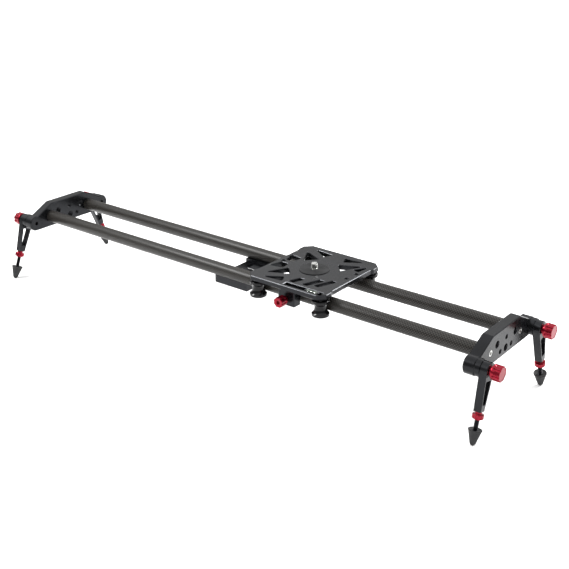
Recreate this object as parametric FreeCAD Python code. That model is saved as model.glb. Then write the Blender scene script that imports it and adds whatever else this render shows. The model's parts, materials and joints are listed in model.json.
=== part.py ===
import FreeCAD, Part
import os
from math import asin, atan2, cos, hypot, radians, sin, sqrt

# Camera slider: two carbon tubes between end blocks, a carriage on four grooved rollers,
# four folding legs with screw feet, and a bracket for a tripod under the middle.
# Frame: origin on the floor, midway between the end blocks and between the tubes.
# +X runs along the tubes, +Y to the rear, +Z up. All sizes are in millimetres.

V = FreeCAD.Vector
X_AXIS, Y_AXIS, Z_AXIS = V(1, 0, 0), V(0, 1, 0), V(0, 0, 1)

# rails
AXIS_Z = 97.0            # tube axes above the floor
TUBE_R = 9.5
TUBE_WALL = 1.8
RAIL_Y = 39.5            # tube axis to the mid-plane
INNER_X = 397.4          # mid-length to the end block's inner face
SOCKET = 3.0             # depth that a tube enters its end block
FIT = 0.02               # radial play of a glued or seated round part
RUN = 0.05               # radial play of a screw that turns in its thread or bearing
TINY = 0.01              # slack when edges are picked by the box round them

# end blocks, outline in Y and Z measured from the tube axes
BLOCK_T = 15.4
TOP_Z = 22.0
TOP_HALF = 36.3
ARM_SLOPE = radians(27.0)
HUB_Y, HUB_Z, HUB_R = 70.5, -4.8, 12.2
BLOCK_EDGE = 1.2
TAP_3_8, TAP_1_4 = 4.8, 3.2           # radius of a 3/8 in and a 1/4 in tapped hole, thread included
BIG_HOLES = [(-24.2, 6.0), (24.2, 6.0), (0.0, -7.2)]
SMALL_HOLES = [(0.0, 7.4), (-14.6, -7.2), (14.6, -7.2)]
THREAD_LEAD_IN = 0.4
INSERT_L = 30.0          # aluminium plug inside each tube end

# screws
M5_R, M5_HEAD_R, M5_HEAD_H, M5_HEX = 2.5, 4.25, 5.0, 4.0
M6_R = 3.0
HEAD_EDGE = 0.4
HEAD_ROOM = 0.4          # radial room round a screw head in its counterbore
END_SCREW_L, BRACKET_SCREW_L = 25.0, 17.0
UNDER_SUNK = 0.5         # depth of the heads in the underside of the bracket and the lock block
HEAD_SUNK = 0.2          # depth of a tube end screw's head below the block's face
SHANK_ROOM = 0.3         # radial room round a shank that passes through

# legs, measured along the leg from its pivot
LEG_GAP = 0.5            # friction washer's space between block and leg
WASHER_R, WASHER_T, WASHER_BORE_R = 11.0, 0.4, 3.2
LEG_HUB_R, LEG_HUB_L = 11.6, 6.0
LEG_T = 9.9
LEG_EDGE = 0.7
LEG_HEAD_R, LEG_END_HALF, LEG_LEN = 10.4, 5.0, 52.0
SLOT_TOP, SLOT_TOP_HALF = 13.5, 6.2
SLOT_END, SLOT_END_HALF = 42.5, 3.5
SLOT_ROUND = 1.2
SPLAY = {("left", "front"): 21.0, ("left", "rear"): 16.5,
         ("right", "front"): 14.0, ("right", "rear"): 14.0}

# clamp knobs on the leg pivots
KNOB_R, KNOB_L, KNOB_NECK_R, KNOB_NECK_L = 10.0, 12.0, 6.4, 3.1
KNOB_FLUTES, FLUTE_R, FLUTE_DEPTH = 8, 2.8, 1.4
FLUTE_START = 1.5        # plain band between a knob's back and its flutes
KNOB_GAP = 0.2           # from the leg to the knob's neck
SCREW_IN_KNOB = 6.0
PIVOT_SCREW_IN = 12.0    # length of the pivot screw inside the block

# lock nut, stud and rubber cone of each foot
NUT_COLLAR_R, NUT_COLLAR_L = 4.3, 2.6
NUT_R, NUT_L = 7.2, 6.2
NUT_LIP_R, NUT_LIP_L = 4.0, 1.4
NUT_BEVEL, LIP_BEVEL = 0.8, 0.2
CONE_RIM_R, CONE_TIP_R, CONE_L = 8.75, 4.0, 20.5
STUD_IN_CONE = 9.0
STUD_L, STUD_EDGE = 50.0, 0.6
RIM_EDGE = 0.6           # bevel of a cone's rim
DISH_R, DISH_SLOPE = 7.25, 0.8        # shallow dish in a cone's top, round its stud

# carriage, X and Y from its centre, Z from the tube axes
CAR_X = 118.5
CAR_HALF_X, CAR_HALF_Y = 65.5, 71.0
CAR_CORNER = 10.0
SIDE_RELIEF, RELIEF_HALF, RELIEF_RAMP = 2.0, 45.0, 5.0
PLATE_Z0, PLATE_Z1 = 15.0, 22.0
PLATE_EDGE = 0.7
WINDOW_ROUND = 1.2
SLANTED_SLOTS = [(-3.9, 9.0, -53.9, -35.9), (17.4, 9.0, -52.2, -25.1), (32.7, 8.5, -46.8, -17.5)]
SLOT_LEAN = 0.37
ACCESSORY_HOLES = [(54.5, 0.0), (-54.5, 0.0), (56.0, 21.0)]
ROLLER_X = 53.5
ROLLER_GAP = 0.3
ROLLER_SOFT = 1.1        # bevel at a roller's two ends
ROLLER_WAIST_R, ROLLER_FLANGE_R, ROLLER_HALF_H = 8.35, 12.0, 11.4
ROLLER_Y = RAIL_Y + TUBE_R + ROLLER_GAP + ROLLER_WAIST_R
BEARING_R, BEARING_BORE, BEARING_W = 6.5, 2.5, 4.0
BEARING_TOP, BEARING_LOW = 7.3, -8.2  # lower faces of the two bearings
BOSS_R = 6.0
BOSS_Z = ROLLER_HALF_H + 1.0
AXLE_TOP = 17.0          # upper end of a roller's screw, inside the plate
AXLE_HEAD_R, SPACER_R = 4.0, 3.9
RACE_W = 2.4             # radial width of a bearing ring
RACE_GAP = 0.2

# carriage lock
LOCK_HALF_X, LOCK_Y0, LOCK_Y1, LOCK_Z0 = 14.0, -64.0, -50.6, -9.5
LOCK_EDGE = 1.0
PAD_R, PAD_TRAVEL = 4.0, 0.5
PAD_GAP = 0.3            # left between the pad and the tube when the pad is fully in
PAD_POCKET, PAD_BACK_GAP = 5.4, 0.6
LOCK_SCREW_IN_KNOB = 9.0
LOCK_HEX, LOCK_HEX_DEPTH = 5.0, 3.0
LOCK_KNOB_R, LOCK_KNOB_L, LOCK_NECK_R, LOCK_NECK_L = 7.5, 12.0, 4.5, 4.7
LOCK_SCREWS = [(-9.5, -57.0), (9.5, -57.0)]
LOCK_SCREW_IN = 2.0      # length of a lock screw inside the plate
M4_R, M4_HEAD_R, M4_HEAD_H, M4_HEX = 2.0, 3.5, 4.0, 3.0

# camera screw and spirit level
CAM_PAD_R, CAM_PAD_H = 21.0, 1.2
CAM_SCREW_R, CAM_SCREW_UP = 4.76, 9.0
CAM_SHANK_R = 4.55
CAM_HEAD_R, CAM_HEAD_H, CAM_HEAD_SUNK = 10.0, 3.0, 0.4
COIN_SLOT_HALF, COIN_SLOT_DEPTH = 0.8, 1.5
CAM_TIP_EDGE = 0.9
LEVEL_X, LEVEL_Y, LEVEL_R, LEVEL_L = 43.0, -62.5, 2.6, 18.0
LEVEL_POCKET = (-3.0, 59.0, -67.0, -58.0)
LEVEL_DEPTH = 4.6
LEVEL_CAP_L, LEVEL_CAP_HALF = 2.0, 3.2

# bracket under the middle of the tubes
BRACKET_HALF_X, BRACKET_HALF_Y = 30.0, 42.0
BRACKET_Z0, BRACKET_Z1 = -22.0, -12.0
SADDLE_Z, SADDLE_HALF_Y = -6.5, 7.5
WEB_Z0 = -16.0           # underside of the thin web between the middle bar and the saddles
BAR_HALF_Y = 7.5         # middle bar that carries the tripod threads
BRACKET_WINDOW = (18.0, 9.0, 24.5)    # half length in X, and its two edges in Y
BRACKET_SCREW_X, BRACKET_SCREW_Y = 18.0, 36.0
BRACKET_THREAD_X = 20.0
BRACKET_EDGE = 0.8

SIDES = {"left": -1, "right": 1}
ROWS = {"front": -1, "rear": 1}
CORNERS = [(side, row) for side in SIDES for row in ROWS]
OUTER_X = INNER_X + BLOCK_T
LEG_X = OUTER_X + LEG_GAP
PIVOT_Z = AXIS_Z + HUB_Z


def box(x0, x1, y0, y1, z0, z1):
    return Part.makeBox(x1 - x0, y1 - y0, z1 - z0, V(x0, y0, z0))


def rod(radius, length, base, axis):
    return Part.makeCylinder(radius, length, base, axis)


def polygon_face(points):
    return Part.Face(Part.makePolygon(points + points[:1]))


def spun(points, axis=Z_AXIS):
    """Turns a closed outline round an axis through the origin."""
    return polygon_face(points).revolve(V(0, 0, 0), axis, 360)


def tapped(radius, depth, mouth, axis):
    """Cutter for a tapped hole: its mouth has a lead-in cone, and axis points into the material."""
    cone = Part.makeCone(radius + THREAD_LEAD_IN, radius, THREAD_LEAD_IN, mouth, axis)
    return rod(radius, depth, mouth, axis).fuse(cone)


def hex_socket(across_flats, depth, centre, axis):
    """Cutter for a hexagon socket whose mouth is at centre and which runs along axis."""
    radius = across_flats / sqrt(3)
    corners = [V(radius * cos(radians(60 * i)), radius * sin(radians(60 * i)), 0) for i in range(6)]
    socket = polygon_face(corners).extrude(V(0, 0, depth))
    socket.Placement = FreeCAD.Placement(centre, FreeCAD.Rotation(Z_AXIS, axis))
    return socket


def cap_screw(length, head_top, axis):
    """M5 socket cap screw: head_top is the middle of its top face, axis runs down the shank."""
    head = rod(M5_HEAD_R, M5_HEAD_H, head_top, axis)
    head = head.makeChamfer(HEAD_EDGE, [head.Edges[i] for i in (0, 2)])
    shank = rod(M5_R, length, head_top + axis * M5_HEAD_H, axis)
    return head.fuse(shank).cut(hex_socket(M5_HEX, M5_R, head_top, axis))


def save(node, solids):
    shape = Part.makeCompound(solids)
    shape.exportStep("parts/" + node + ".step")


# ---------------------------------------------------------------- rails and end blocks

def block_outline():
    """Outline of an end block in Y and Z at X = 0: flat top, sloping arms and round hubs."""
    reach = -((TOP_HALF - HUB_Y) * cos(ARM_SLOPE) - (TOP_Z - HUB_Z) * sin(ARM_SLOPE))
    gap = hypot(TOP_HALF - HUB_Y, TOP_Z - HUB_Z)
    run = reach - sqrt(reach ** 2 - gap ** 2 + HUB_R ** 2)
    arm_y = TOP_HALF + run * cos(ARM_SLOPE)
    arm_z = TOP_Z - run * sin(ARM_SLOPE)
    edges = [Part.LineSegment(V(0, -TOP_HALF, TOP_Z), V(0, TOP_HALF, TOP_Z))]
    edges.append(Part.LineSegment(V(0, -HUB_Y, HUB_Z - HUB_R), V(0, HUB_Y, HUB_Z - HUB_R)))
    for row in (-1, 1):
        arm_end = V(0, row * arm_y, arm_z)
        hub_side = V(0, row * (HUB_Y + HUB_R), HUB_Z)
        hub_foot = V(0, row * HUB_Y, HUB_Z - HUB_R)
        edges.append(Part.LineSegment(V(0, row * TOP_HALF, TOP_Z), arm_end))
        edges.append(Part.Arc(arm_end, hub_side, hub_foot))
    return Part.Wire(Part.__sortEdges__([edge.toShape() for edge in edges]))


def end_block(side):
    """Machined plate that holds both tubes; its outer face has the leg pivots and tapped holes."""
    block = Part.Face(block_outline()).extrude(V(BLOCK_T, 0, 0))
    rims = [e for e in block.Edges if e.BoundBox.XLength < TINY]
    block = block.makeChamfer(BLOCK_EDGE, rims)
    inward, outward = V(-1, 0, 0), V(1, 0, 0)
    cuts = []
    for row in (-1, 1):
        cuts.append(rod(TUBE_R + FIT, SOCKET, V(0, row * RAIL_Y, 0), outward))
        cuts.append(rod(M5_R + SHANK_ROOM, BLOCK_T, V(0, row * RAIL_Y, 0), outward))
        mouth = V(BLOCK_T, row * RAIL_Y, 0)
        cuts.append(rod(M5_HEAD_R + HEAD_ROOM, M5_HEAD_H + HEAD_SUNK, mouth, inward))
        cuts.append(rod(M6_R + RUN, BLOCK_T, V(0, row * HUB_Y, HUB_Z), outward))
    for radius, places in ((TAP_3_8, BIG_HOLES), (TAP_1_4, SMALL_HOLES)):
        for y, z in places:
            cuts.append(tapped(radius, BLOCK_T, V(BLOCK_T, y, z), inward))
    block = block.cut(cuts)
    if side == "left":
        block.rotate(V(0, 0, 0), Z_AXIS, 180)
    block.translate(V(SIDES[side] * INNER_X, 0, AXIS_Z))
    return block


def tube(y):
    """Carbon tube, with its lower wall drilled where the middle bracket's screws pass."""
    start = V(-INNER_X - SOCKET, y, AXIS_Z)
    length = 2 * (INNER_X + SOCKET)
    cuts = [rod(TUBE_R - TUBE_WALL, length, start, X_AXIS)]
    for x in (-BRACKET_SCREW_X, BRACKET_SCREW_X):
        screw_y = y / RAIL_Y * BRACKET_SCREW_Y
        cuts.append(rod(M5_R + SHANK_ROOM, TUBE_R, V(x, screw_y, AXIS_Z - TUBE_R), Z_AXIS))
    return rod(TUBE_R, length, start, X_AXIS).cut(cuts)


def rails():
    for row, sign in ROWS.items():
        save("tube_" + row, [tube(sign * RAIL_Y)])
    inserts, screws, washers = [], [], []
    for side, row in CORNERS:
        out = V(SIDES[side], 0, 0)
        tube_end = V(SIDES[side] * (INNER_X + SOCKET), ROWS[row] * RAIL_Y, AXIS_Z)
        plug = rod(TUBE_R - TUBE_WALL - FIT, INSERT_L, tube_end, -out)
        inserts.append(plug.cut(rod(M5_R + FIT, INSERT_L, tube_end, -out)))
        head_top = V(SIDES[side] * (OUTER_X - HEAD_SUNK), ROWS[row] * RAIL_Y, AXIS_Z)
        screws.append(cap_screw(END_SCREW_L, head_top, -out))
        face = V(SIDES[side] * OUTER_X, ROWS[row] * HUB_Y, PIVOT_Z)
        washer = rod(WASHER_R, WASHER_T, face, out)
        washers.append(washer.cut(rod(WASHER_BORE_R, WASHER_T, face, out)))
    save("tube_inserts", inserts)
    save("tube_end_screws", screws)
    save("leg_friction_washers", washers)
    for side in SIDES:
        save("end_block_" + side, [end_block(side)])


# ---------------------------------------------------------------- middle bracket

def bracket():
    """Bridge under both tubes: a saddle under each, a thin web and a middle bar with tripod threads."""
    half_x, half_y = BRACKET_HALF_X, BRACKET_HALF_Y
    inner_y = half_y - 2 * SADDLE_HALF_Y
    body = box(-half_x, half_x, -inner_y, inner_y, WEB_Z0, BRACKET_Z1)
    bar = box(-half_x, half_x, -BAR_HALF_Y, BAR_HALF_Y, BRACKET_Z0, BRACKET_Z1)
    raised, cuts, screws, slugs = [bar], [], [], []
    for row in (-1, 1):
        saddle_y = row * (half_y - SADDLE_HALF_Y)
        saddle = box(-half_x, half_x, saddle_y - SADDLE_HALF_Y, saddle_y + SADDLE_HALF_Y,
                     BRACKET_Z0, SADDLE_Z)
        under = [e for e in saddle.Edges if e.BoundBox.ZMax < BRACKET_Z0 + TINY]
        raised.append(saddle.makeChamfer(BRACKET_EDGE, under))
        start = V(-half_x, row * RAIL_Y, 0)
        cuts.append(rod(TUBE_R + FIT, 2 * half_x, start, X_AXIS))
        window_x, near, far = BRACKET_WINDOW
        cuts.append(box(-window_x, window_x, min(row * near, row * far), max(row * near, row * far),
                        WEB_Z0, BRACKET_Z1))
        slug = rod(TUBE_R - TUBE_WALL - FIT, 2 * half_x, start, X_AXIS)
        for x in (-BRACKET_SCREW_X, BRACKET_SCREW_X):
            foot = V(x, row * BRACKET_SCREW_Y, BRACKET_Z0)
            cuts.append(rod(M5_R + FIT, 30, foot, Z_AXIS))
            cuts.append(rod(M5_HEAD_R + HEAD_ROOM, M5_HEAD_H + UNDER_SUNK, foot, Z_AXIS))
            screws.append(cap_screw(BRACKET_SCREW_L, foot + V(0, 0, UNDER_SUNK), Z_AXIS))
            slug = slug.cut(rod(M5_R + FIT, 30, foot, Z_AXIS))
        slugs.append(slug)
    mouth = V(0, 0, BRACKET_Z0)
    cuts.append(tapped(TAP_3_8, BRACKET_Z1 - BRACKET_Z0, mouth, Z_AXIS))
    for x in (-BRACKET_THREAD_X, BRACKET_THREAD_X):
        cuts.append(tapped(TAP_1_4, BRACKET_Z1 - BRACKET_Z0, mouth + V(x, 0, 0), Z_AXIS))
    up = V(0, 0, AXIS_Z)
    save("middle_bracket", [body.fuse(raised).cut(cuts).removeSplitter().translated(up)])
    save("bracket_screws", [screw.translated(up) for screw in screws])
    save("bracket_tube_slugs", [slug.translated(up) for slug in slugs])


# ---------------------------------------------------------------- legs and feet

def leg_blank():
    """Leg hanging straight down from a pivot at the origin, with its inner face at X = 0."""
    lean = asin((LEG_HEAD_R - LEG_END_HALF) / LEG_LEN)
    shoulder_y, shoulder_z = LEG_HEAD_R * cos(lean), -LEG_HEAD_R * sin(lean)
    left, right = V(0, -shoulder_y, shoulder_z), V(0, shoulder_y, shoulder_z)
    end_left, end_right = V(0, -LEG_END_HALF, -LEG_LEN), V(0, LEG_END_HALF, -LEG_LEN)
    edges = [Part.Arc(left, V(0, 0, LEG_HEAD_R), right), Part.LineSegment(right, end_right),
             Part.LineSegment(end_right, end_left), Part.LineSegment(end_left, left)]
    outline = Part.Wire([edge.toShape() for edge in edges])
    bar = Part.Face(outline).extrude(V(LEG_T, 0, 0))
    bar = bar.makeChamfer(LEG_EDGE, [e for e in bar.Edges if e.BoundBox.XMin > LEG_T - TINY])
    bar.translate(V(LEG_HUB_L, 0, 0))
    outer_x = LEG_HUB_L + LEG_T
    hub = rod(LEG_HUB_R, LEG_HUB_L, V(0, 0, 0), X_AXIS)
    slot = polygon_face([V(0, -SLOT_TOP_HALF, -SLOT_TOP), V(0, SLOT_TOP_HALF, -SLOT_TOP),
                         V(0, SLOT_END_HALF, -SLOT_END), V(0, -SLOT_END_HALF, -SLOT_END)])
    slot = slot.extrude(V(LEG_HUB_L + LEG_T, 0, 0))
    slot = slot.makeFillet(SLOT_ROUND, [e for e in slot.Edges if e.BoundBox.XLength > 1])
    pivot = rod(M6_R + RUN, LEG_HUB_L + LEG_T, V(0, 0, 0), X_AXIS)
    stud_hole = rod(M6_R + RUN, LEG_LEN - SLOT_END + 2, V(LEG_HUB_L + LEG_T / 2, 0, -LEG_LEN), Z_AXIS)
    bar = bar.cut(slot)
    rim = [e for e in bar.Edges if e.BoundBox.XMin > outer_x - TINY and e.BoundBox.ZMax < -SLOT_TOP + 0.1
           and e.BoundBox.ZMin > -SLOT_END - 0.1]
    bar = bar.makeChamfer(LEG_EDGE, [e for e in rim if abs(e.CenterOfMass.y) < SLOT_TOP_HALF + 0.1])
    return bar.fuse(hub).cut([pivot, stud_hole])


def fluted_knob(radius, length, neck_r, neck_l, bore_r, bore_l):
    """Knob standing on its neck along +X, with scalloped sides and a blind bore for its screw."""
    head = rod(radius, length, V(neck_l, 0, 0), X_AXIS)
    head = head.makeChamfer(radius * 0.1, [e for e in head.Edges if e.BoundBox.XLength < TINY])
    flutes = []
    for i in range(KNOB_FLUTES):
        turn = radians(360.0 * i / KNOB_FLUTES)
        reach = radius + FLUTE_R - FLUTE_DEPTH * radius / KNOB_R
        centre = V(neck_l + FLUTE_START, reach * cos(turn), reach * sin(turn))
        flutes.append(rod(FLUTE_R, length, centre, X_AXIS))
    neck = rod(neck_r, neck_l, V(0, 0, 0), X_AXIS)
    return head.cut(flutes).fuse(neck).cut(rod(bore_r, bore_l, V(0, 0, 0), X_AXIS))


def lock_nut():
    """Thumb nut below a leg's end, round the stud: collar, wide knurled rim and a small lip."""
    steps = [(NUT_COLLAR_R, NUT_COLLAR_L), (NUT_R, NUT_L), (NUT_LIP_R, NUT_LIP_L)]
    depth = LEG_LEN + RUN
    outline = [V(M6_R + RUN, 0, -depth)]
    for radius, length in steps:
        cut = NUT_BEVEL if radius == NUT_R else LIP_BEVEL
        outline.append(V(radius - cut, 0, -depth))
        outline.append(V(radius, 0, -depth - cut))
        depth += length
        outline.append(V(radius, 0, -depth + cut))
        outline.append(V(radius - cut, 0, -depth))
    outline.append(V(M6_R + RUN, 0, -depth))
    return spun(outline)


def foot(rim_depth):
    """Stud and rubber cone on the leg's axis; rim_depth is the cone's top, below the pivot."""
    tip = rim_depth + CONE_L
    centre = tip - CONE_TIP_R
    shoulder = rim_depth + RIM_EDGE
    lean = atan2(CONE_RIM_R, centre - shoulder)
    lean -= asin(CONE_TIP_R / hypot(CONE_RIM_R, centre - shoulder))
    bore = M6_R + FIT
    bore_end = rim_depth + STUD_IN_CONE
    side_foot = V(CONE_TIP_R * cos(lean), 0, -centre - CONE_TIP_R * sin(lean))
    half_way = radians(45) + lean / 2
    tip_mid = V(CONE_TIP_R * cos(half_way), 0, -centre - CONE_TIP_R * sin(half_way))
    corners = [V(0, 0, -bore_end), V(bore, 0, -bore_end), V(bore, 0, -rim_depth - 2 * DISH_SLOPE),
               V(DISH_R, 0, -rim_depth - DISH_SLOPE), V(CONE_RIM_R - RIM_EDGE, 0, -rim_depth),
               V(CONE_RIM_R, 0, -shoulder), side_foot]
    edges = [Part.makeLine(a, b) for a, b in zip(corners, corners[1:])]
    edges.append(Part.Arc(side_foot, tip_mid, V(0, 0, -tip)).toShape())
    edges.append(Part.makeLine(V(0, 0, -tip), corners[0]))
    cone = Part.Face(Part.Wire(edges)).revolve(V(0, 0, 0), Z_AXIS, 360)
    stud = rod(M6_R, STUD_L, V(0, 0, -bore_end), Z_AXIS)
    return stud.makeChamfer(STUD_EDGE, [stud.Edges[0], stud.Edges[2]]), cone


def legs():
    for side, row in CORNERS:
        splay = SPLAY[side, row]
        name = side + "_" + row
        pivot_to_tip = (PIVOT_Z - CONE_TIP_R) / cos(radians(splay)) + CONE_TIP_R
        stud, cone = foot(pivot_to_tip - CONE_L)
        bar_x = V(LEG_HUB_L + LEG_T / 2, 0, 0)
        neck = V(LEG_HUB_L + LEG_T + KNOB_GAP, 0, 0)
        screw_in = LEG_GAP + PIVOT_SCREW_IN
        screw_l = screw_in + neck.x + KNOB_NECK_L + SCREW_IN_KNOB
        pieces = {
            "leg_": leg_blank(),
            "foot_lock_nut_": lock_nut().translated(bar_x),
            "foot_stud_": stud.translated(bar_x),
            "foot_cone_": cone.translated(bar_x),
            "leg_knob_": fluted_knob(KNOB_R, KNOB_L, KNOB_NECK_R, KNOB_NECK_L,
                                     M6_R + FIT, KNOB_NECK_L + SCREW_IN_KNOB + 0.1).translated(neck),
            "leg_pivot_screw_": rod(M6_R, screw_l, V(-screw_in, 0, 0), X_AXIS),
        }
        for prefix, piece in pieces.items():
            if side == "left":
                piece = piece.rotated(V(0, 0, 0), Z_AXIS, 180)
            piece = piece.rotated(V(0, 0, 0), X_AXIS, ROWS[row] * splay)
            place = V(SIDES[side] * LEG_X, ROWS[row] * HUB_Y, PIVOT_Z)
            save(prefix + name, [piece.translated(place)])


# ---------------------------------------------------------------- carriage

def flared(face):
    """Cutter for the bevelled mouth of an opening in the plate's top, from the opening's outline."""
    foot_z = PLATE_Z1 - PLATE_EDGE
    mouth = face.makeOffset2D(PLATE_EDGE, 0).translated(V(0, 0, foot_z - face.BoundBox.ZMin))
    mouth = mouth.extrude(V(0, 0, 2 * PLATE_EDGE))
    return mouth.makeChamfer(PLATE_EDGE, [e for e in mouth.Edges if e.BoundBox.ZMax < foot_z + TINY])


def rounded_window(points):
    """Cutter through the plate with the given corners, rounded and bevelled."""
    face = polygon_face([V(x, y, PLATE_Z0 - 1) for x, y in points])
    face = face.makeOffset2D(-WINDOW_ROUND, 2).makeOffset2D(WINDOW_ROUND, 0)
    return face.extrude(V(0, 0, PLATE_Z1 - PLATE_Z0 + 2)).fuse(flared(face))


def plate_windows():
    """Wedge-shaped windows that fan out from the corners, and slanted slots in the fourth corner."""
    side_wedge = [(59.8, 25.5), (53.5, 5.0), (42.0, 5.0), (39.0, 22.0)]
    corner_wedge = [(48.0, 47.5), (32.0, 17.0), (17.0, 33.0)]
    end_wedge = [(43.0, 62.0), (17.0, 45.5), (11.0, 59.0)]
    upper_wedge = [(56.5, 51.5), (53.5, 28.5), (43.5, 31.0)]
    fans = [((-1, -1), [side_wedge, corner_wedge, end_wedge]),
            ((-1, 1), [side_wedge, corner_wedge, end_wedge]),
            ((1, 1), [upper_wedge, corner_wedge, end_wedge])]
    windows = [rounded_window([(sx * x, sy * y) for x, y in wedge])
               for (sx, sy), wedges in fans for wedge in wedges]
    for left, width, front, back in SLANTED_SLOTS:
        shift = (back - front) * SLOT_LEAN
        windows.append(rounded_window([(left, front), (left + width, front),
                                       (left + width + shift, back), (left + shift, back)]))
    return windows


def plate():
    """Carriage plate with its corner bosses for the roller screws."""
    inner_x, corner_x = CAR_HALF_X - SIDE_RELIEF, CAR_HALF_X - CAR_CORNER
    corner_y = CAR_HALF_Y - CAR_CORNER
    quarter = [(inner_x, RELIEF_HALF), (CAR_HALF_X, RELIEF_HALF + RELIEF_RAMP),
               (CAR_HALF_X, corner_y), (corner_x, CAR_HALF_Y)]
    outline = quarter + [(-x, y) for x, y in reversed(quarter)]
    outline += [(-x, -y) for x, y in quarter] + [(x, -y) for x, y in reversed(quarter)]
    body = polygon_face([V(x, y, PLATE_Z0) for x, y in outline]).extrude(V(0, 0, PLATE_Z1 - PLATE_Z0))
    body = body.makeChamfer(PLATE_EDGE, [e for e in body.Edges if e.BoundBox.ZLength < TINY])
    cuts = plate_windows()
    bosses = []
    for sx in (-1, 1):
        for sy in (-1, 1):
            base = V(sx * ROLLER_X, sy * ROLLER_Y, BOSS_Z)
            bosses.append(rod(BOSS_R, PLATE_Z0 - BOSS_Z, base, Z_AXIS))
            cuts.append(rod(M5_R + FIT, AXLE_TOP + 0.2 - BOSS_Z, base, Z_AXIS))
    x0, x1, y0, y1 = LEVEL_POCKET
    pocket = box(x0, x1, y0, y1, PLATE_Z1 - LEVEL_DEPTH, PLATE_Z1)
    cuts += [pocket, flared(Part.Face(pocket.Faces[4].OuterWire))]
    cuts.append(rod(CAM_SHANK_R + RUN, 10, V(0, 0, PLATE_Z0 - 1), Z_AXIS))
    cuts.append(rod(CAM_HEAD_R + HEAD_ROOM, CAM_HEAD_H, V(0, 0, PLATE_Z0), Z_AXIS))
    for x, y in ACCESSORY_HOLES:
        cuts.append(tapped(TAP_1_4, PLATE_Z1 - PLATE_Z0, V(x, y, PLATE_Z1), -Z_AXIS))
    for x, y in LOCK_SCREWS:
        cuts.append(rod(M4_R + FIT, LOCK_SCREW_IN + 1.2, V(x, y, PLATE_Z0 - 1), Z_AXIS))
    return body.fuse(bosses).cut(cuts)


def roller():
    """Grooved wheel on a vertical axis through the origin, with a pocket for a bearing at each end."""
    groove_r = TUBE_R + ROLLER_GAP
    centre = ROLLER_WAIST_R + groove_r
    edge_z = sqrt(groove_r ** 2 - (centre - ROLLER_FLANGE_R) ** 2)
    top, low = ROLLER_HALF_H, -ROLLER_HALF_H
    ends = [V(ROLLER_FLANGE_R - ROLLER_SOFT, 0, low), V(ROLLER_FLANGE_R, 0, low + ROLLER_SOFT),
            V(ROLLER_FLANGE_R, 0, -edge_z)]
    pocket_r = BEARING_R + FIT
    inner = [V(pocket_r, 0, top), V(pocket_r, 0, BEARING_TOP), V(BEARING_R - 1, 0, BEARING_TOP),
             V(BEARING_R - 1, 0, BEARING_LOW + BEARING_W), V(pocket_r, 0, BEARING_LOW + BEARING_W),
             V(pocket_r, 0, low)]
    corners = inner + ends
    edges = [Part.makeLine(a, b) for a, b in zip(corners, corners[1:])]
    upper = [V(p.x, 0, -p.z) for p in reversed(ends)]
    edges.append(Part.Arc(ends[-1], V(ROLLER_WAIST_R, 0, 0), upper[0]).toShape())
    corners = upper + inner[:1]
    edges += [Part.makeLine(a, b) for a, b in zip(corners, corners[1:])]
    return Part.Face(Part.Wire(edges)).revolve(V(0, 0, 0), Z_AXIS, 360)


def ring(outer, inner, height, base):
    return rod(outer, height, base, Z_AXIS).cut(rod(inner, height, base, Z_AXIS))


def rollers(place):
    axles, spacers, races = [], [], []
    for side, row in CORNERS:
        centre = place + V(SIDES[side] * ROLLER_X, ROWS[row] * ROLLER_Y, 0)
        save("roller_" + side + "_" + row, [roller().translated(centre)])
        outer_rings = []
        for z in (BEARING_TOP, BEARING_LOW):
            base = centre + V(0, 0, z)
            outer_rings.append(ring(BEARING_R, BEARING_R - RACE_W, BEARING_W, base))
            races.append(ring(BEARING_R - RACE_W - RACE_GAP, BEARING_BORE + FIT, BEARING_W, base))
        save("roller_bearings_" + side + "_" + row, outer_rings)
        head_top = centre + V(0, 0, -ROLLER_HALF_H)
        head = rod(AXLE_HEAD_R, ROLLER_HALF_H + BEARING_LOW, head_top, Z_AXIS)
        shank = rod(M5_R, AXLE_TOP - BEARING_LOW, centre + V(0, 0, BEARING_LOW), Z_AXIS)
        axles.append(head.fuse(shank).cut(hex_socket(M5_HEX, M5_R, head_top, Z_AXIS)))
        sleeve_z = BEARING_LOW + BEARING_W
        top_z = BEARING_TOP + BEARING_W
        for z0, z1 in ((sleeve_z, BEARING_TOP), (top_z, BOSS_Z)):
            spacers.append(ring(SPACER_R, BEARING_BORE + FIT, z1 - z0, centre + V(0, 0, z0)))
    save("roller_axle_screws", axles)
    save("roller_spacers", spacers)
    save("roller_inner_races", races)


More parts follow.
